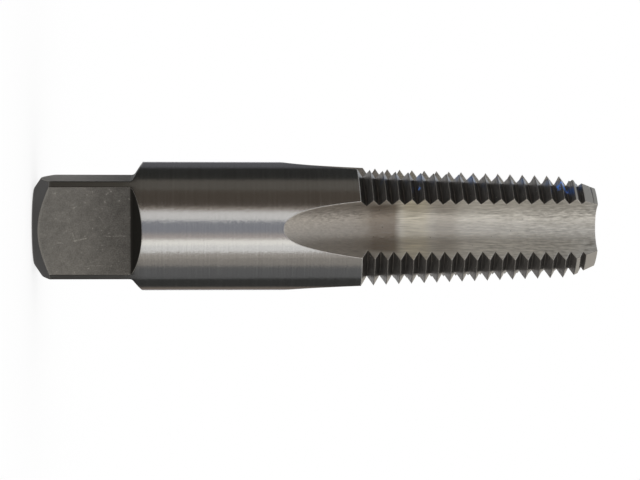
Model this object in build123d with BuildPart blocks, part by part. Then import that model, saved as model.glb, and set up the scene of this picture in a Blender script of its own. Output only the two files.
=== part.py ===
from build123d import *
import os
from math import atan, ceil, degrees, radians, sqrt, tan

# Taper pipe tap for a 1/4-18 thread, ground from one bar of tool steel.
# +Z runs along the tool from its driving square to its cutting tip.
# The origin is the centre of the square's end face, which the tool stands on.
# One flat of the square faces -Y, with a flute nearly in line with it.
# Each flute has its cutting face on the side that meets the work when the tool turns clockwise
# as seen from the square end, so the thread is right-handed.

# Whole tool
overall_length = 62.2
shank_diameter = 14.29

# Driving square
flats_count = 4
across_flats = 10.69
flat_length = 10.85
shoulder_lean = 32.0
shoulder_root_radius = 0.5
end_face_diameter = 8.5
end_chamfer_angle = 56.0

# Centre hole, one in each end
centre_mouth_diameter = 3.2
centre_pilot_diameter = 1.5
centre_cone_angle = 60.0
centre_pilot_length = 1.4

# Thread: crests flush with the shank at first, then a cone that loses 1 mm of radius in 32 mm.
# Neighbouring grooves overlap a little, so that each crest is one sharp edge.
pitch = 25.4 / 18
flank_angle = 30.0
groove_overlap = 0.02
cone_fall = 1 / 32
cone_length = 24.3
threaded_length = 26.05
groove_start_flute = 2

# Lead: the cone that lets the first teeth enter the hole
lead_length = 3.1
lead_angle = 25.5

# Flutes, cut by a form wheel that sinks towards the tip and leaves the shank in an arc.
# Across a flute, two large root radii leave only a narrow flat floor between the walls.
flutes_count = 4
flutes_turn_from_flats = -1.45
web_diameter_at_tip = 5.85
flute_floor_fall = 0.043
flute_straight_length = 21.65
flute_wheel_radius = 34.6
flute_floor_width = 2.86
flute_floor_offset = 0.44
cutting_face_angle = 33.0
heel_face_angle = 44.0
cutting_root_radius = 2.55
heel_root_radius = 2.7

# How far every cutter passes beyond the steel
overrun = 1.0

# Sizes that follow from the ones above
shank_radius = shank_diameter / 2
flat_height = across_flats / 2
end_face_radius = end_face_diameter / 2
end_chamfer_length = (shank_radius - end_face_radius) / tan(radians(end_chamfer_angle))
cone_start_height = overall_length - cone_length
crest_radius_at_tip = shank_radius - cone_fall * cone_length
lead_start_height = overall_length - lead_length
lead_start_radius = crest_radius_at_tip + cone_fall * lead_length
tip_face_radius = lead_start_radius - lead_length * tan(radians(lead_angle))
thread_depth = (pitch + groove_overlap) / (2 * tan(radians(flank_angle)))
groove_start_height = overall_length - threaded_length
groove_start_radius = crest_radius_at_tip + cone_fall * threaded_length - thread_depth
flute_bend_height = overall_length - flute_straight_length
flute_bend_radius = web_diameter_at_tip / 2 + flute_floor_fall * flute_straight_length

# Cutter for one flat of the square and the leaning shoulder at its end
with BuildPart() as flat_cutter:
    with BuildSketch(Plane.XZ):
        with BuildLine():
            outside = shank_radius + overrun
            shoulder_rise = (outside - flat_height) * tan(radians(shoulder_lean))
            flat_and_shoulder = FilletPolyline(
                (flat_height, -overrun),
                (flat_height, flat_length),
                (outside, flat_length + shoulder_rise),
                radius=shoulder_root_radius,
            )
            Polyline(flat_and_shoulder @ 1, (outside, -overrun), flat_and_shoulder @ 0)
        make_face()
    extrude(amount=outside, both=True)

# Cutter for one flute: the wheel's form, drawn across the flute where its floor bends
flute_plane = Plane(
    origin=(flute_bend_radius, 0, flute_bend_height),
    x_dir=(0, -1, 0),
    z_dir=(-flute_floor_fall, 0, 1),
)
form_height = shank_radius + overrun - web_diameter_at_tip / 2
cutting_side = flute_floor_offset + flute_floor_width / 2
heel_side = flute_floor_offset - flute_floor_width / 2
with BuildPart() as flute_cutter:
    with BuildSketch(flute_plane) as wheel_form:
        with BuildLine():
            walls_and_floor = FilletPolyline(
                (heel_side - form_height * tan(radians(heel_face_angle)), form_height),
                (heel_side, 0),
                (cutting_side, 0),
                (cutting_side + form_height * tan(radians(cutting_face_angle)), form_height),
                radius=(heel_root_radius, cutting_root_radius),
            )
            Line(walls_and_floor @ 1, walls_and_floor @ 0)
        make_face()
    slant = sqrt(1 + flute_floor_fall**2)
    extrude(amount=(flute_straight_length + overrun) * slant)
    wheel_axle = Axis(flute_plane.from_local_coords((0, flute_wheel_radius, 0)), (0, -1, 0))
    revolve(wheel_form.sketch, axis=wheel_axle, revolution_arc=40)

# Cutters for the thread: a V swept along a tapered helix, in one stretch for each land that it
# crosses, and each stretch starts and ends in the open air of the flutes beside that land
def thread_stretch(turns_from_start):
    height = groove_start_height + pitch * turns_from_start
    with BuildPart() as stretch:
        with BuildLine() as groove_root:
            Helix(
                pitch=pitch,
                height=pitch * stretch_turns,
                radius=groove_start_radius - cone_fall * pitch * turns_from_start,
                center=(0, 0, height),
                cone_angle=-degrees(atan(cone_fall)),
            )
        start_plane = Plane(
            origin=groove_root.line @ 0,
            x_dir=(1, 0, 0),
            z_dir=groove_root.line % 0,
        )
        with BuildSketch(start_plane):
            with BuildLine():
                half_mouth = (pitch + groove_overlap) / 2
                Polyline(
                    (0, 0),
                    (thread_depth, -half_mouth),
                    (thread_depth + overrun / 2, -half_mouth),
                    (thread_depth + overrun / 2, half_mouth),
                    (thread_depth, half_mouth),
                    close=True,
                )
            make_face()
        sweep(path=groove_root.line, is_frenet=True)
    return stretch.part.rotate(Axis.Z, groove_start_angle + 360 * turns_from_start)


flute_gap = 0.1 / flutes_count
stretch_turns = 1 / flutes_count - 2 * flute_gap
groove_start_angle = 360 * (groove_start_flute / flutes_count + flute_gap) + flutes_turn_from_flats
stretch_count = ceil((threaded_length / pitch + 0.5) * flutes_count)
thread_cutters = [thread_stretch(number / flutes_count) for number in range(stretch_count)]

# Cutter for a centre hole: a pilot drill with its countersink
with BuildPart() as centre_drill:
    with BuildSketch(Plane.XZ):
        with BuildLine():
            mouth_radius = centre_mouth_diameter / 2
            pilot_radius = centre_pilot_diameter / 2
            cone_depth = (mouth_radius - pilot_radius) / tan(radians(centre_cone_angle / 2))
            Polyline(
                (0, 0),
                (mouth_radius, 0),
                (pilot_radius, cone_depth),
                (pilot_radius, cone_depth + centre_pilot_length),
                (0, cone_depth + centre_pilot_length),
                close=True,
            )
        make_face()
    revolve(axis=Axis.Z)

# The tap: a turned bar with its square, flutes, thread and centre holes cut
with BuildPart() as pipe_tap:
    with BuildSketch(Plane.XZ):
        with BuildLine():
            Polyline(
                (0, 0),
                (end_face_radius, 0),
                (shank_radius, end_chamfer_length),
                (shank_radius, cone_start_height),
                (lead_start_radius, lead_start_height),
                (tip_face_radius, overall_length),
                (0, overall_length),
                close=True,
            )
        make_face()
    revolve(axis=Axis.Z)
    with PolarLocations(0, flats_count):
        add(flat_cutter.part, mode=Mode.SUBTRACT)
    add(centre_drill.part, mode=Mode.SUBTRACT)
    with Locations((0, 0, overall_length)):
        add(centre_drill.part, rotation=(180, 0, 0), mode=Mode.SUBTRACT)
    with PolarLocations(0, flutes_count, start_angle=flutes_turn_from_flats):
        add(flute_cutter.part, mode=Mode.SUBTRACT)
    add(thread_cutters, mode=Mode.SUBTRACT)

pipe_tap.part.label = "pipe_tap"

os.makedirs("parts", exist_ok=True)
export_step(pipe_tap.part, "parts/pipe_tap.step")
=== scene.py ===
# %% [markdown]
# # A taper pipe tap in its studio
#
# A tap is a screw of hard steel with four grooves along it, which cuts a thread inside a hole.
# Its shape is exact and comes from the CAD model, so this lesson adds no shape.
# It gives the steel its finishes, and builds the light that makes a plain bar look like ground metal.
# Blender counts in metres, so lengths are written with mm. Inside the steel's shader they are millimetres.

# %% Load the tap
from math import cos, degrees, pi, radians, sin, tan

import bpy
from mathutils import Matrix, Vector

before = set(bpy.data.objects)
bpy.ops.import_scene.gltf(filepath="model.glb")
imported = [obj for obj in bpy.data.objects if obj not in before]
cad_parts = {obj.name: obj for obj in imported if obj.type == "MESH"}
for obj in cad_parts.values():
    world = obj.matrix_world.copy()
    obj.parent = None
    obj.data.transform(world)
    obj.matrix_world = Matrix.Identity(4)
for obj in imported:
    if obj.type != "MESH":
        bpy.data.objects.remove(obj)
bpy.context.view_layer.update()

mm = 0.001
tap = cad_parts["pipe_tap"]

# %% [markdown]
# ## The camera
#
# The tap stands on its square end, and the picture shows it lying on its side, with the tip to the right.
# The tap could be laid down, but then its place would no longer be the CAD model's.
# So the camera is rolled by a quarter turn instead: its right-hand side points up the tap.
# It stands a little to one side, so that one flute and the thread above and below it are seen.

# %% Camera
picture_width_in_pixels = 640
focal_length_in_pixels = 1907
sensor_width_in_mm = 36
nearest_seen = 10 * mm
camera_distance = 212.8 * mm
camera_height = 16.79 * mm
camera_rise = -0.48 * mm
turn_about_tap = radians(6.0)
yaw = radians(4.0)
pitch = radians(-0.29)

picture_right = Vector((0, 0, 1))
away = Vector((sin(turn_about_tap), cos(turn_about_tap), 0))
picture_up = Vector((-cos(turn_about_tap), sin(turn_about_tap), 0))
looking = (
    picture_right * sin(yaw) * cos(pitch) + away * cos(yaw) * cos(pitch) + picture_up * sin(pitch)
)
camera_right = picture_right * cos(yaw) - away * sin(yaw)
camera_up = camera_right.cross(looking)

camera_data = bpy.data.cameras.new("camera")
camera_data.sensor_width = sensor_width_in_mm
camera_data.lens = focal_length_in_pixels / picture_width_in_pixels * sensor_width_in_mm
camera_data.clip_start = nearest_seen
camera = bpy.data.objects.new("camera", camera_data)
bpy.context.scene.collection.objects.link(camera)
camera_place = picture_right * camera_height - away * camera_distance + picture_up * camera_rise
camera_axes = Matrix((camera_right, camera_up, -looking)).transposed().to_4x4()
camera.matrix_world = Matrix.Translation(camera_place) @ camera_axes
bpy.context.scene.camera = camera
print("The camera's lens is", round(camera_data.lens, 1), "mm")

# %% [markdown]
# ## Shader maths as plain expressions
#
# A material is a tree of nodes. Wired by hand, even `1 - 2 * mask` takes two nodes and two wires.
# This class wraps one output socket and gives it +, -, * and /, so that a formula can be read as one.
# `node` makes any other kind of node from its type, its settings and what goes into its sockets.
# Settings come first, because some of them decide which sockets a node has.

# %% The socket class
class Socket:
    """One output of a node, which can be calculated with like a number."""

    tree = None

    def __init__(self, output):
        self.output = output

    @classmethod
    def node(cls, kind, settings=None, inputs=None, output=0):
        made = cls.tree.nodes.new(kind)
        for name, value in (settings or {}).items():
            setattr(made, name, value)
        for name, value in (inputs or {}).items():
            if isinstance(name, int):
                socket = made.inputs[name]
            else:
                socket = next(each for each in made.inputs if each.identifier == name)
            if isinstance(value, Socket):
                cls.tree.links.new(value.output, socket)
            else:
                socket.default_value = value
        return cls(made.outputs[output])

    def maths(self, operation, second=0.0):
        return Socket.node("ShaderNodeMath", {"operation": operation}, {0: self, 1: second})

    def __add__(self, other):
        return self.maths("ADD", other)

    def __radd__(self, other):
        return self.maths("ADD", other)

    def __sub__(self, other):
        return self.maths("SUBTRACT", other)

    def __rsub__(self, other):
        return Socket.node("ShaderNodeMath", {"operation": "SUBTRACT"}, {0: other, 1: self})

    def __mul__(self, other):
        return self.maths("MULTIPLY", other)

    def __rmul__(self, other):
        return self.maths("MULTIPLY", other)

    def __truediv__(self, other):
        return self.maths("DIVIDE", other)

    def smaller(self, other):
        return self.maths("MINIMUM", other)

    def larger(self, other):
        return self.maths("MAXIMUM", other)

    def size(self):
        return self.maths("ABSOLUTE")

    def rise(self, low, high):
        """0 below low, 1 above high, and a smooth climb between them."""
        return Socket.node(
            "ShaderNodeMapRange",
            {"interpolation_type": "SMOOTHSTEP"},
            {"Value": self, "From Min": low, "From Max": high},
        )

    def fall(self, low, high):
        """1 below low and 0 above high."""
        return 1 - self.rise(low, high)

    def rise_at(self, edge, softness):
        """A rise that is half done at the edge."""
        return self.rise(edge - softness, edge + softness)

    def fall_at(self, edge, softness):
        """A fall that is half done at the edge."""
        return self.fall(edge - softness, edge + softness)

    def towards(self, other, share):
        """This number, with a share of the way to another one."""
        return self + share * (other - self)

    def vector(self, operation, second=(0.0, 0.0, 0.0), scale=1.0):
        """A step of vector maths. The steps that measure give a number, from the second output."""
        measures = operation in ("DOT_PRODUCT", "DISTANCE", "LENGTH")
        inputs = {0: self, 1: second, "Scale": scale}
        return Socket.node("ShaderNodeVectorMath", {"operation": operation}, inputs, int(measures))

    def parts(self):
        """The X, Y and Z of a vector."""
        return [Socket.node("ShaderNodeSeparateXYZ", None, {0: self}, each) for each in range(3)]


print("The socket class is ready")

# %% [markdown]
# ## Helpers for colours and materials
#
# Colours are mixed by a Mix node and scaled by vector maths, because plain maths would turn them grey.
# The Object output of Texture Coordinate gives a point's place on its own object, so that a pattern stays
# on the metal whatever the camera does.

# %% Colour and material helpers
object_output = 3
mixed_colour_output = 2


def object_place():
    """The place of a point on its object, in metres."""
    return Socket.node("ShaderNodeTexCoord", output=object_output)


def mixed(first, second, share):
    """A colour that is the first where share is 0 and the second where it is 1."""
    inputs = {"Factor_Float": share, "A_Color": first, "B_Color": second}
    return Socket.node("ShaderNodeMix", {"data_type": "RGBA"}, inputs, mixed_colour_output)


def tinted(colour, factor):
    """A colour made lighter or darker all through."""
    if isinstance(colour, tuple):
        colour = mixed(colour, colour, 0.0)
    return colour.vector("SCALE", scale=factor)


def grey(level):
    return (level, level, level, 1)


def new_material(name):
    """A material and its shader. The nodes made from now on go into its tree."""
    material = bpy.data.materials.new(name)
    material.use_nodes = True
    Socket.tree = material.node_tree
    return material, material.node_tree.nodes["Principled BSDF"]


def connect(value, socket):
    Socket.tree.links.new(value.output, socket)


white = grey(1)
black = grey(0)
print("White is", white, "and black is", black)

# %% [markdown]
# ## The floor and the white room
#
# The photograph has a plain white background. The room is a white sky of strength 1.
# The floor could be lit by lamps alone, but it would then be grey around the tap.
# So it is mostly lit from inside, like a light table, and stays white up to the tap.
# The rest of its white is ordinary paint, which takes a soft shadow where the tap stands.

# %% Sky and floor
sky = bpy.data.worlds.new("white_room")
sky.use_nodes = True
sky.node_tree.nodes["Background"].inputs["Color"].default_value = white
sky.node_tree.nodes["Background"].inputs["Strength"].default_value = 1
bpy.context.scene.world = sky

floor_size_in_metres = 6
floor_glow = 0.8
floor_paint = 1 - floor_glow
bpy.ops.object.select_all(action="DESELECT")
bpy.ops.mesh.primitive_plane_add(size=floor_size_in_metres)
floor = bpy.context.object
floor.name = "floor"
light_table, floor_shader = new_material("light_table")
floor_shader.inputs["Base Color"].default_value = grey(floor_paint)
floor_shader.inputs["Roughness"].default_value = 1
floor_shader.inputs["Specular IOR Level"].default_value = 0
floor_shader.inputs["Emission Color"].default_value = white
floor_shader.inputs["Emission Strength"].default_value = floor_glow
floor.data.materials.append(light_table)
print("The floor glows at", floor_glow, "and is painted at", round(floor_paint, 2))

# %% [markdown]
# ## The light tent
#
# Bare metal has hardly any colour of its own: it shows what stands around it.
# A photographer rings it with soft boxes and dark cards, and a round bar then shows them as stripes.
# Separate cards would leave gaps, so this tent is one open tube whose wall glows panel by panel.
# The angle of a panel is counted from the camera, and it is positive above the tap in the picture.
# A panel's brightness is the one that the shank shows, so its glow is that, divided by what steel reflects.

# %% Panels of the tent
steel_reflectance = 0.6
panels = (
    # name, lower angle, upper angle, soft edge, brightness on the shank, tint
    ("back_from_below", -160, -138, 5, 0.100, (1.20, 1.0, 0.85)),
    ("dark_card_below", -138, -104, 5, 0.024, (1.00, 1.0, 0.95)),
    ("far_side_below", -104, -74, 4, 0.082, (1.00, 1.0, 1.00)),
    ("near_side_below", -74, -60, 4, 0.170, (1.08, 1.0, 0.90)),
    ("cloth_below", -60, -47, 3, 0.225, (1.09, 1.0, 0.90)),
    ("soft_box_below_rim", -47, -33.5, 3, 0.550, (1.01, 1.0, 0.97)),
    ("soft_box_below", -33.5, -23.5, 2.5, 0.680, (1.03, 1.0, 0.93)),
    ("front_below", -23.5, -13, 3, 0.245, (1.12, 1.0, 0.94)),
    ("front", -13, 9.5, 4, 0.180, (0.98, 1.0, 1.10)),
    ("soft_box_above", 9.5, 27, 2.5, 0.490, (1.02, 1.0, 0.97)),
    ("soft_box_above_rim", 27, 33, 2.5, 0.160, (1.19, 1.0, 0.83)),
    ("cloth_above", 33, 64, 3, 0.039, (1.24, 1.0, 0.78)),
    ("side_above", 64, 88, 4, 0.066, (1.10, 1.0, 0.86)),
    ("dark_card_above", 88, 124, 5, 0.016, (1.00, 1.0, 0.92)),
    ("back_from_above", 124, 160, 6, 0.072, (1.00, 1.0, 1.08)),
    ("soft_box_behind", 160, 200, 4, 0.450, (0.98, 1.0, 1.04)),
)


def glow_colour(strength, tint):
    """A glow of one strength, with a tint for its red, green and blue."""
    return tuple(strength * part for part in tint) + (1,)


def angle_and_glow():
    """The angle of a point around the tap, and the glow of the panel that stands there."""
    upwards = object_place().vector("DOT_PRODUCT", tuple(picture_up))
    forwards = object_place().vector("DOT_PRODUCT", tuple(-away))
    angle = upwards.maths("ARCTAN2", forwards) * degrees(1)
    glow = None
    for name, low, high, soft, brightness, tint in panels:
        share = angle.rise_at(low, soft) * angle.fall_at(high, soft)
        if high > 180:
            share = share.larger(angle.fall_at(high - 360, soft))
        panel = tinted(glow_colour(brightness / steel_reflectance, tint), share)
        glow = panel if glow is None else glow.vector("ADD", panel)
    return angle, glow


brightest = max(panels, key=lambda panel: panel[4])
print("The tent has", len(panels), "panels, and the brightest is", brightest[0])

# %% [markdown]
# ## The tube and what sees it
#
# A tent that stood in the room for real would hide the tap from the camera and shade the floor.

# %% Tube of the tent
tent_radius = 100 * mm
tent_height = 400 * mm
tent_sides = 96
bpy.ops.object.select_all(action="DESELECT")
bpy.ops.mesh.primitive_cylinder_add(
    vertices=tent_sides,
    radius=tent_radius,
    depth=tent_height,
    end_fill_type="NOTHING",
    location=(0, 0, tent_height / 2),
)
tent = bpy.context.object
tent.name = "light_tent"
bpy.ops.object.transform_apply(location=True, rotation=True, scale=True)
tent.visible_camera = False
tent.visible_diffuse = False
tent.visible_shadow = False
print("The tent's wall has", len(tent.data.polygons), "faces")

# %% [markdown]
# ## The wall of the tent
#
# In the photo the teeth turn light in one straight line along the tap, about 50 degrees from its middle.
# Painting them light there would be wrong from every other side.
# It is a reflection: from that angle on, the thread's walls see the white paper behind the tap.
# So the wall glows white beyond the paper's edge, and above the panels it glows softly in front too.
# A dimmer card closes both sides between them, from just below the tip, because the walls of the last
# teeth look there.

# %% Colours of the wall
panel_height = 110 * mm
panel_height_behind = 56 * mm
panel_top_softness = 4 * mm
below_to_above_softness = 10
front_above = glow_colour(0.62, (0.97, 1.0, 1.02))
front_below = glow_colour(0.85, (1.03, 1.0, 0.95))
paper_above = glow_colour(0.85, (0.95, 1.0, 1.06))
paper_below = glow_colour(0.8, (1.06, 1.0, 0.90))
paper_edge = 140
paper_edge_softness = 3
side_card_glow = 0.30
side_card_edge = 64
side_card_softness = 4
side_card_bottom = 52 * mm
side_card_fade = 6 * mm
print("The paper fills", 2 * (180 - paper_edge), "degrees behind the tap")

# %% Glow of the wall
tent_cloth, tent_shader = new_material("tent_cloth")
tent.data.materials.append(tent_cloth)
height_on_tent = object_place().parts()[2]
angle_on_tent, wall_glow = angle_and_glow()
in_upper_half = angle_on_tent.rise_at(0, below_to_above_softness)
on_paper = angle_on_tent.size().rise_at(paper_edge, paper_edge_softness)

side_card = angle_on_tent.size().rise_at(side_card_edge, side_card_softness)
side_card = side_card * height_on_tent.rise(side_card_bottom, side_card_bottom + side_card_fade)
wall_glow = mixed(wall_glow, grey(side_card_glow), side_card * (1 - on_paper))

paper = mixed(paper_below, paper_above, in_upper_half)
glow_in_front = mixed(front_below, front_above, in_upper_half)
above_panels = height_on_tent - (panel_height + (panel_height_behind - panel_height) * on_paper)
above_panels = above_panels.rise_at(0, panel_top_softness)
wall_glow = mixed(wall_glow, mixed(glow_in_front, paper, on_paper), above_panels)


def glow_only(shader, glow):
    """A shader that mirrors and scatters nothing, and glows in the colour given."""
    shader.inputs["Base Color"].default_value = black
    shader.inputs["Specular IOR Level"].default_value = 0
    shader.inputs["Emission Strength"].default_value = 1
    connect(glow, shader.inputs["Emission Color"])


glow_only(tent_shader, wall_glow)
print("The wall's shader has", len(tent_cloth.node_tree.nodes), "nodes")

# %% [markdown]
# ## The ground under the tap
#
# The standing tap would mirror the white floor, and its shank would turn pale when it is seen from above.
# Dark cards on a table hide the floor from the metal. Here a thin disc does it, just above the floor: it
# repeats the panels more dimly, with the paper behind. Like the wall, only reflections see it.
# Close to the tap it glows evenly. The end chamfer sees only that part, and narrow panels there would
# streak it.

# %% Disc of the ground cloth
cloth_lift = 0.1 * mm
bpy.ops.object.select_all(action="DESELECT")
bpy.ops.mesh.primitive_circle_add(
    vertices=tent_sides, radius=tent_radius, fill_type="NGON", location=(0, 0, cloth_lift)
)
ground_cloth = bpy.context.object
ground_cloth.name = "ground_cloth"
bpy.ops.object.transform_apply(location=True, rotation=True, scale=True)
ground_cloth.visible_camera = False
ground_cloth.visible_diffuse = False
ground_cloth.visible_shadow = False
print("The ground cloth lies", round(cloth_lift / mm, 1), "mm above the floor")

# %% Glow of the ground cloth
ground_cloth_share = 0.45
paper_glow_on_ground = 0.85
ground_glow_near_tap = 0.25
near_tap_radius = 13 * mm
near_tap_softness = 2 * mm
grey_cloth, cloth_shader = new_material("grey_cloth")
ground_cloth.data.materials.append(grey_cloth)
angle_on_cloth, cloth_glow = angle_and_glow()
on_paper = angle_on_cloth.size().rise_at(paper_edge, paper_edge_softness)
cloth_glow = mixed(tinted(cloth_glow, ground_cloth_share), grey(paper_glow_on_ground), on_paper)
near_tap = object_place().vector("LENGTH").fall_at(near_tap_radius, near_tap_softness)
glow_only(cloth_shader, mixed(cloth_glow, grey(ground_glow_near_tap), near_tap))
print("The ground shows the panels at", ground_cloth_share, "of their glow")

# %% [markdown]
# ## Where each finish lies
#
# The tap is one solid, and each kind of surface on it was made by another tool.
# Painting masks by hand would blur their borders, but every border here follows from a size.
# So the masks are worked out from the place on the tap, its distance from the axis, and which way the
# surface faces. The true normal is turned from the room's axes to the tap's for that.

# %% Place and direction on the steel
true_normal_output = 3
tool_steel, steel_shader = new_material("tool_steel")
millimetres = (1 / mm, 1 / mm, 1 / mm)
place = object_place().vector("MULTIPLY", millimetres)
x, y, z = place.parts()
from_axis = (x * x + y * y).maths("SQRT")
true_normal = Socket.node("ShaderNodeNewGeometry", output=true_normal_output)
to_object = {"vector_type": "NORMAL", "convert_from": "WORLD", "convert_to": "OBJECT"}
facing = Socket.node("ShaderNodeVectorTransform", to_object, {0: true_normal})
facing_x, facing_y, facing_up = facing.parts()
facing_out = (facing_x * x + facing_y * y) / from_axis
print("Place and direction take", len(tool_steel.node_tree.nodes), "nodes")

# %% Sizes of the tap in millimetres, as in the CAD model
shank_radius = 7.145
flat_height = 5.345
flat_length = 10.85
end_face_radius = 4.25
end_chamfer_angle = 56
chamfer_slope = tan(radians(90 - end_chamfer_angle))
hole_radius = 1.6
flute_bottom = 27
thread_bottom = 35.4
cone_slope = 1 / 32
lead_bottom = 59.1
lead_radius = 6.483
lead_angle = 25.5
lead_slope = tan(radians(lead_angle))
tip_height = 62.2
cone_radius_at_tip = 6.386

cone_radius = cone_radius_at_tip + cone_slope * (tip_height - z)
lead_cone_radius = lead_radius - lead_slope * (z - lead_bottom)
land_radius = cone_radius.smaller(lead_cone_radius).smaller(shank_radius)
below_land = land_radius - from_axis
print("The radius shrinks from", shank_radius, "mm on the shank to", lead_radius, "mm at the lead")

# %% [markdown]
# ## Masks of the square
#
# A mill cut the four flats and came out in four leaning shoulders, and a lathe cut the chamfer at the end.
# A flat faces straight along X or Y. The chamfer and the shoulders both face downwards, and differ in
# height.

# %% Masks of the square
chamfer_top = 3
shoulder_bottom = 8
shoulder_top = 14

on_square = z.fall(shoulder_top - 0.1, shoulder_top)
farther_side = x.size().larger(y.size())
faces_a_side = facing_x.size().larger(facing_y.size()).rise(0.8, 0.9)
on_flat = farther_side.fall(flat_height + 0.1, flat_height + 0.3) * faces_a_side * on_square
on_chamfer = facing_up.fall(-0.6, -0.5) * z.fall(chamfer_top, chamfer_top + 1)
on_shoulder = facing_up.fall(-0.35, -0.25) * z.rise(shoulder_bottom, shoulder_bottom + 1)
on_shoulder = on_shoulder * on_square
near_square = z.fall(9.5, 12.5)
print("Masks of the square: flat, chamfer, shoulder, and the shank near it")

# %% [markdown]
# ## Masks of the cutting end
#
# The thread's walls face steeply up or down, and only the flat tip and the centre hole do so too.
# The lead is the cone at the tip, and it lies at the full radius. What is left below the full radius, or
# doesn't face straight out from the axis, is a flute.

# %% Masks of the cutting end
on_tip = z.rise(tip_height - 0.1, tip_height - 0.05) * facing_up.rise(0.9, 0.95)
in_hole = from_axis.fall_at(hole_radius + 0.1, 0.05)
on_turned_end = on_tip.larger(in_hole)
on_flank = facing_up.size().rise(0.6, 0.7) * z.rise(thread_bottom - 1.5, thread_bottom - 1.0)
on_flank = on_flank * (1 - on_tip) * (1 - in_hole)
on_lead = z.rise_at(lead_bottom, 0.05) * below_land.fall(0.06, 0.1) * (1 - on_flank)
off_round = facing_out.fall(0.988, 0.994).larger(below_land.rise_at(0.3, 0.05))
in_flute = off_round * (1 - on_flank) * z.rise(flute_bottom, flute_bottom + 0.5) * (1 - on_lead)
print("Masks of the cutting end: tip, hole, thread wall, lead and flute")

# %% [markdown]
# ## The grain of each finish
#
# Grinding leaves fine parallel scratches, and they decide how a surface shines.
# A scratch tilts the surface a little to each side of itself, so a highlight is drawn out across the
# scratches and stays sharp along them.
# The Anisotropic setting could imitate this, but it has one direction for the whole material.
# Here thin noise, stretched along the scratches, tilts the normal itself. Wider noise varies the colours.

# %% Noise for the grains
def grain(across_axis, along_axis, detail=2.0):
    """Noise with so many waves in a millimetre, across the tap's axis and along it, centred on 0."""
    stretch = (across_axis, across_axis, along_axis)
    inputs = {"Vector": place.vector("MULTIPLY", stretch), "Scale": 1.0, "Detail": detail}
    return Socket.node("ShaderNodeTexNoise", None, inputs) - 0.5


flute_scratches = grain(26, 0.5)
flute_streaks = grain(7.5, 0.35, 3.0)
flute_chatter = grain(5.0, 1.6)
flute_dashes = grain(9.0, 1.3, 1.0)
shank_scratches = grain(0.35, 32)
shank_bands = grain(0.12, 9.0)
thread_marks = grain(0.8, 20)
fine_speckle = grain(8, 8)
small_dents = grain(3.1, 3.1, 1.0)
wide_mottle = grain(0.9, 0.9)
print("The ten grains have from 0.12 to 32 waves in a millimetre")

# %% [markdown]
# ## Colours of the finishes
#
# All of it is one steel, so the colours are greys that differ in how dark and how warm they are.
# The flutes were ground last and are the brightest. The thread's walls are painted dark, as painted shade
# for the dark that they reflect, and their edges get a painted highlight. The square was left as the mill
# and the furnace made it, with its shoulders painted near black as shade, and the turned tip is plain.
# One metal with one colour would be simpler, but then only the light would tell the finishes apart.

# %% Finish colours
shank_colour = (0.60, 0.60, 0.60, 1)
flute_colour = (0.70, 0.68, 0.635, 1)
straw_colour = (0.70, 0.665, 0.575, 1)
# Painted shade where the flutes run out before the thread
run_out_shade_colour = (0.455, 0.425, 0.39, 1)
tip_colour = (0.42, 0.41, 0.39, 1)
# Painted shade in the flutes' dark bands
flute_band_shade_colour = (0.33, 0.29, 0.25, 1)
# Painted shade: the thread's walls are painted far darker than the steel, for the dark that they reflect
flank_shade_colour = (0.25, 0.24, 0.23, 1)
# Painted highlight along the roots of the thread's grooves
root_highlight_colour = (0.34, 0.325, 0.30, 1)
# Painted highlight and wear on the sharp edges
edge_highlight_and_wear_colour = (0.85, 0.82, 0.75, 1)
lead_colour = (0.35, 0.335, 0.31, 1)
corner_colour = (0.38, 0.37, 0.35, 1)
flat_colour = (0.25, 0.24, 0.22, 1)
chamfer_colour = (0.27, 0.265, 0.26, 1)
# Painted shade: the shoulders are painted near black, for the shade and dark reflection in their corner
shoulder_shade_colour = (0.06, 0.056, 0.05, 1)
dye_colour = (0.07, 0.26, 0.85, 1)
dye_stain_colour = (0.13, 0.22, 0.42, 1)
print("A worn edge reflects", edge_highlight_and_wear_colour[0], "of red light, and a shoulder", shoulder_shade_colour[0])

# %% [markdown]
# ## Painted shade and a straw band along the flutes
#
# The flutes are painted darker before the thread and in two brown bands, as painted shade for the light that
# changes along them, with a straw-tinted band between.
# Bands could be drawn in a picture, but they lie at fixed heights, so a few steps along the axis make them,
# and the streaks' noise roughens their borders.

# %% Painted shade: darker bands along the flutes, stronger deeper in them
run_out_top = 35.0
first_shade_band_bottom = 34.6
first_shade_band_top = 39.4
straw_band_height = 41.9
second_shade_band_height = 45.2
second_shade_band_strength = 0.38

before_thread = z.fall(run_out_top, run_out_top + 3)
first_shade_band = (z + 1.2 * wide_mottle).rise(first_shade_band_bottom, first_shade_band_bottom + 3)
first_shade_band = first_shade_band * (z + 0.8 * flute_streaks).fall(first_shade_band_top, first_shade_band_top + 1.1)
second_shade_band = (z - second_shade_band_height).size().fall(0.4, 2.4)
deep_in_flute = below_land.rise(0.8, 1.5)
# Painted shade: the bands darken the flutes' colour
flute_shade_bands = (first_shade_band + second_shade_band_strength * second_shade_band) * (1 + 1.2 * flute_streaks)
flute_shade_bands = flute_shade_bands * (0.4 + 0.6 * deep_in_flute)
straw_band = (z - straw_band_height).size().fall(0.8, 2.2)
print("One brown band ends at", first_shade_band_top, "mm, one lies at", second_shade_band_height, "mm")

# %% [markdown]
# ## Painted highlight and wear on the edges
#
# The sharp edges are painted pale: a painted highlight where a rounded edge would catch the light, and some
# rubbed wear from handling. A bevel in the mesh would need many thin faces.
# The Bevel node finds the edges instead: it leans its normal where two faces meet, and the share of lean
# says how near the edge is. It finds inner corners too, so only the outside of the tap counts.
# The end of each flat carries a rubbed arc beside the chamfer, and the thread's grooves get a painted
# highlight along their root, where a rounded root would reflect light.

# %% Painted highlight and wear on the edges
edge_width = 0.14 * mm
edge_samples = 6
edge_strength = 0.80
edge_loss_on_thread = 0.35
root_highlight_strength = 0.6

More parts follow.
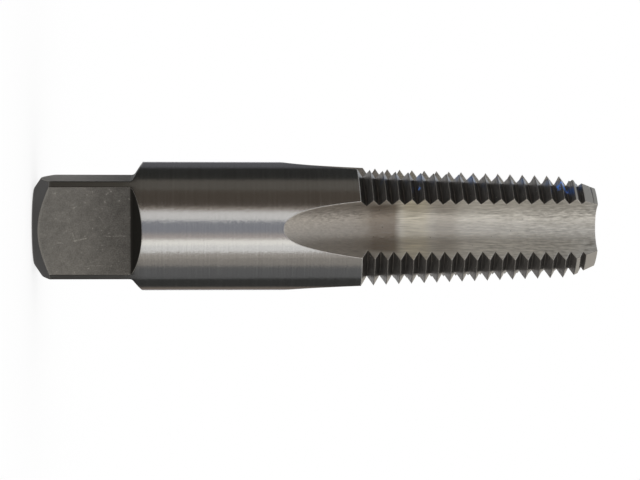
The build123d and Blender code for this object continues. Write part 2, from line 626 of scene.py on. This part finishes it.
rounded_normal = Socket.node("ShaderNodeBevel", {"samples": edge_samples}, {"Radius": edge_width})
sameness = rounded_normal.vector("DOT_PRODUCT", true_normal)
outer_edge = below_land.fall(0.12, 0.25).larger(z.fall(2.2, 2.4))
# Painted highlight and wear: the outer edges are painted pale where they would catch the light
highlight_and_wear_edge_mask = sameness.fall(0.82, 0.99) * outer_edge
edge_highlight_and_wear_share = highlight_and_wear_edge_mask * (edge_strength - edge_loss_on_thread * z.rise_at(36, 0.5))
above_chamfer = z - (from_axis - end_face_radius) * chamfer_slope
rubbed_arc = (above_chamfer + 0.5 * small_dents).fall(0.08, 0.26) * on_flat
# Painted highlight: the root of each groove is painted paler, where a rounded root would reflect light
root_highlight = root_highlight_strength * below_land.rise(1.06, 1.15) * (1 + 2 * wide_mottle)
print("The wear reaches", round(edge_width / mm, 2), "mm from an edge")

# %% [markdown]
# ## Layout dye
#
# Somebody marked this tap with blue dye, and traces of it are left on one row of teeth.
# Loose shells of paint would need their own shapes. A stain has no thickness, so a few spots are placed by
# angle and height, and noise frays their borders. A thin wash of it colours the land beside them.

# %% Layout dye that stayed on the thread above the front flute
front_flute_angle = -91.45
stain_angle = front_flute_angle - 80


def direction(angle):
    """The direction away from the axis at an angle around it, in degrees."""
    return cos(radians(angle)), sin(radians(angle))


def spot(angle, radius, height, size):
    """1 in a round spot at an angle around the axis, in degrees, and 0 outside it."""
    centre = tuple(radius * each for each in direction(angle)) + (height,)
    distance = place.vector("DISTANCE", centre)
    return (distance + small_dents * size * 1.6).fall(0.55 * size, size)


dye_near_tip = spot(front_flute_angle - 51, 5.8, 58.35, 0.76)
dye_on_first_teeth = spot(front_flute_angle - 45, 6.5, 42.0, 0.45)
dye = dye_near_tip.larger(dye_on_first_teeth)
dye_coat = dye * on_flank.larger(highlight_and_wear_edge_mask)

towards_stain = place.vector("DOT_PRODUCT", direction(stain_angle) + (0.0,)) / from_axis
stain_cloud = (grain(0.55, 0.55) * 2).rise(-0.1, 0.35)
dye_stain = towards_stain.rise(0.82, 0.93) * stain_cloud * below_land.fall(0.5, 1.0) * z.rise(36, 38)
print("The wash of dye lies around", stain_angle, "degrees")

# %% [markdown]
# ## Paint of the flutes
#
# The wheel ran along each flute and left long streaks, short dashes nearer the tip, and a few pits.
# A photographed texture would show them all, but it would bring that photo's light with it.
# The same noise that tilts the normal makes the streaks lighter and darker, so colour and shine agree.

# %% Colour of the flutes
dashes_begin = 41
chatter_begins = 46
# Towards the tip the flutes are painted a tenth darker, as painted shade like their bands
flute_tone = 1 - 0.1 * z.rise(50, 58) + 0.9 * flute_streaks + 0.35 * flute_scratches
flute_tone = flute_tone + 0.5 * flute_chatter * z.rise(chatter_begins, chatter_begins + 9)
flute_tone = flute_tone + 0.45 * flute_dashes * z.rise(dashes_begin, dashes_begin + 6)
pits = small_dents.fall_at(-0.29, 0.02)
flute_paint = mixed(flute_colour, straw_colour, straw_band)
flute_paint = mixed(flute_paint, run_out_shade_colour, before_thread)
flute_paint = mixed(flute_paint, flute_band_shade_colour, flute_shade_bands)
flute_paint = tinted(flute_paint, flute_tone * (1 - 0.6 * pits))
print("The flutes' dashes begin at", dashes_begin, "mm")

# %% [markdown]
# ## Paint of the square
#
# The square is dull and flecked, darker towards the shank, and its front flat carries some light scratches
# from the wrench that held it. Noise alone gives no single lines.
# So each scratch is a thin line with a place, a length and a lean, and noise makes it wander and break.

# %% Scratches on the front flat
def scratch(across, height, length, lean, strength):
    """A short light scratch on the front flat, leaning so many degrees from the tap's axis."""
    from_middle_x, from_middle_z = x - across, z - height
    on_line = from_middle_x * cos(radians(lean)) - from_middle_z * sin(radians(lean))
    along_line = from_middle_x * sin(radians(lean)) + from_middle_z * cos(radians(lean))
    in_width = (on_line + 0.25 * wide_mottle).size().fall(0.02, 0.07)
    return strength * in_width * along_line.size().fall(0.35 * length, 0.5 * length)


front_scratches = (
    # across, height, length, lean, strength
    (0.92, 5.34, 1.7, -11, 0.9),
    (0.54, 4.54, 1.5, 80, 0.5),
    (1.30, 3.14, 0.7, 5, 0.9),
    (0.54, 9.00, 2.8, 2, 0.4),
    (3.80, 6.60, 2.6, -1, 0.4),
    (-2.50, 4.75, 0.5, -30, 0.9),
    (-1.20, 7.60, 0.9, 60, 0.4),
)
scratches = scratch(*front_scratches[0])
for each in front_scratches[1:]:
    scratches = scratches.larger(scratch(*each))
scratches = scratches * y.fall(-1, 0) * (0.6 + 3 * fine_speckle)
print("The front flat has", len(front_scratches), "scratches")

# %% Colour of the square
square_tone = 1.36 - 0.62 * z.rise(3.0, 11.0) + 0.45 * wide_mottle + 0.7 * fine_speckle
flecks = small_dents.rise_at(0.26, 0.03)
light_marks = (flecks * 0.35).larger(scratches * 0.6).larger(rubbed_arc * 0.22)
flat_paint = mixed(tinted(flat_colour, square_tone), edge_highlight_and_wear_colour, light_marks)
# Painted shade: a dark line along the rounded corner beside each flat
corner_shade_line = farther_side.rise(flat_height - 0.11, flat_height - 0.04) * (1 - faces_a_side)
corner_shade_line = corner_shade_line * z.fall(flat_length - 0.35, flat_length + 0.65)
print("A dark crease runs along each flat, up to", flat_length, "mm")

# %% [markdown]
# ## One steel from all the finishes
#
# The finishes could be separate materials on separate faces, but then their borders could not fade.
# So one material lays them over each other, each where its mask says: bar, flutes, lead, tip, thread,
# square, and last the painted highlight and wear on the edges, and the dye.

# %% The whole colour
turning_pitch = 0.16
turning_marks = (from_axis * 2 * pi / turning_pitch).maths("SINE")
tip_paint = tinted(tip_colour, 1 + 0.08 * turning_marks + 0.5 * wide_mottle)
# Painted shade on the thread's walls, with marks along them
shaded_flank_paint = tinted(flank_shade_colour, 1 + 1.8 * thread_marks)
bright_dents = small_dents.rise(0.27, 0.30)
layers = (
    # colour, where it lies
    (corner_colour, near_square),
    # painted shade along the corners beside the flats
    (shoulder_shade_colour, corner_shade_line * 0.7),
    (flute_paint, in_flute),
    (lead_colour, on_lead),
    (tip_paint, on_turned_end),
    (shaded_flank_paint, on_flank),
    (root_highlight_colour, root_highlight * on_flank),
    (flat_paint, on_flat),
    (chamfer_colour, on_chamfer),
    # painted shade on the shoulders
    (shoulder_shade_colour, on_shoulder),
    (dye_stain_colour, dye_stain * on_flank.larger(in_flute) * 0.8),
    # painted highlight and wear on the edges, and bright dents on the thread's walls
    (edge_highlight_and_wear_colour, edge_highlight_and_wear_share.larger(bright_dents * on_flank)),
    (dye_colour, dye_coat),
)
steel_colour = tinted(shank_colour, 1 + 0.22 * shank_bands + 0.12 * fine_speckle)
for colour, share in layers:
    steel_colour = mixed(steel_colour, colour, share)
connect(steel_colour, steel_shader.inputs["Base Color"])
print("The steel has", len(layers), "layers over the bare shank")

# %% [markdown]
# ## Shine
#
# Roughness says how blurred a reflection is. It could be one number, but the finishes differ: the shank
# was ground fine, the flutes coarser, and the square is dull from the furnace.
# Dye is not metal, so where it lies the surface is mostly not metallic either.

# %% Roughness
shank_roughness = 0.17
corner_roughness = 0.3
flute_roughness = 0.46
flank_roughness = 0.38
flat_roughness = 0.55
chamfer_roughness = 0.8
dye_cover = 0.8

roughness = shank_roughness + 0.12 * shank_bands
for other_roughness, share in (
    (corner_roughness, near_square),
    (flute_roughness, in_flute),
    (flank_roughness, on_flank.larger(on_lead)),
    (corner_roughness, on_turned_end),
    (flat_roughness, on_flat.larger(on_shoulder)),
    (chamfer_roughness, on_chamfer),
):
    roughness = roughness.towards(other_roughness, share)
connect(roughness, steel_shader.inputs["Roughness"])
connect(1 - dye_coat * dye_cover, steel_shader.inputs["Metallic"])
print("The roughness goes from", shank_roughness, "to", chamfer_roughness)

# %% [markdown]
# ## Scratches
#
# The tilt goes across the axis in the flutes, where the wheel ran along the tap, and along the axis on the
# shank, which was turned and ground around. Displaced metal would do the same with far more triangles.
# Towards the tip the flutes look hammered, so there the tilt goes both ways.

# %% Scratched normals
flute_scratch_tilt = 0.9
flute_streak_tilt = 0.5
hammered_tilt = 0.6
flat_speckle_tilt = 0.5
flat_dent_tilt = 0.4
other_speckle_tilt = 0.14
shank_scratch_tilt = 0.10

axis_direction = (0.0, 0.0, 1.0)
around = rounded_normal.vector("CROSS_PRODUCT", axis_direction).vector("NORMALIZE")
hammered = flute_chatter * z.rise(chatter_begins, chatter_begins + 10) * hammered_tilt
flute_tilt = flute_scratches * flute_scratch_tilt + flute_streaks * flute_streak_tilt + hammered
tilt_across = in_flute * flute_tilt + on_flat * fine_speckle * flat_speckle_tilt
tilt_across = tilt_across + (1 - in_flute) * (1 - on_flat) * fine_speckle * other_speckle_tilt
tilt_along = (1 - in_flute) * shank_scratches * shank_scratch_tilt
tilt_along = tilt_along + on_flat * small_dents * flat_dent_tilt + in_flute * hammered

along = Socket.node("ShaderNodeCombineXYZ", None, {2: tilt_along})
scratched = rounded_normal.vector("ADD", around.vector("SCALE", scale=tilt_across))
scratched = scratched.vector("ADD", along).vector("NORMALIZE")
connect(scratched, steel_shader.inputs["Normal"])
print("The steel's shader has", len(tool_steel.node_tree.nodes), "nodes")

# %% [markdown]
# ## Dress the tap
#
# The CAD model came with a plain grey material. Its mesh stays as it is, and only the material is changed.

# %% Steel on the tap
for each in tap.material_slots:
    each.material = tool_steel
print("The tap wears", tap.material_slots[0].material.name)

# %% [markdown]
# ## Leave the scene as the renderer expects it
#
# Standard view keeps every colour as it was written.

# %% View
bpy.context.scene.view_settings.view_transform = "Standard"
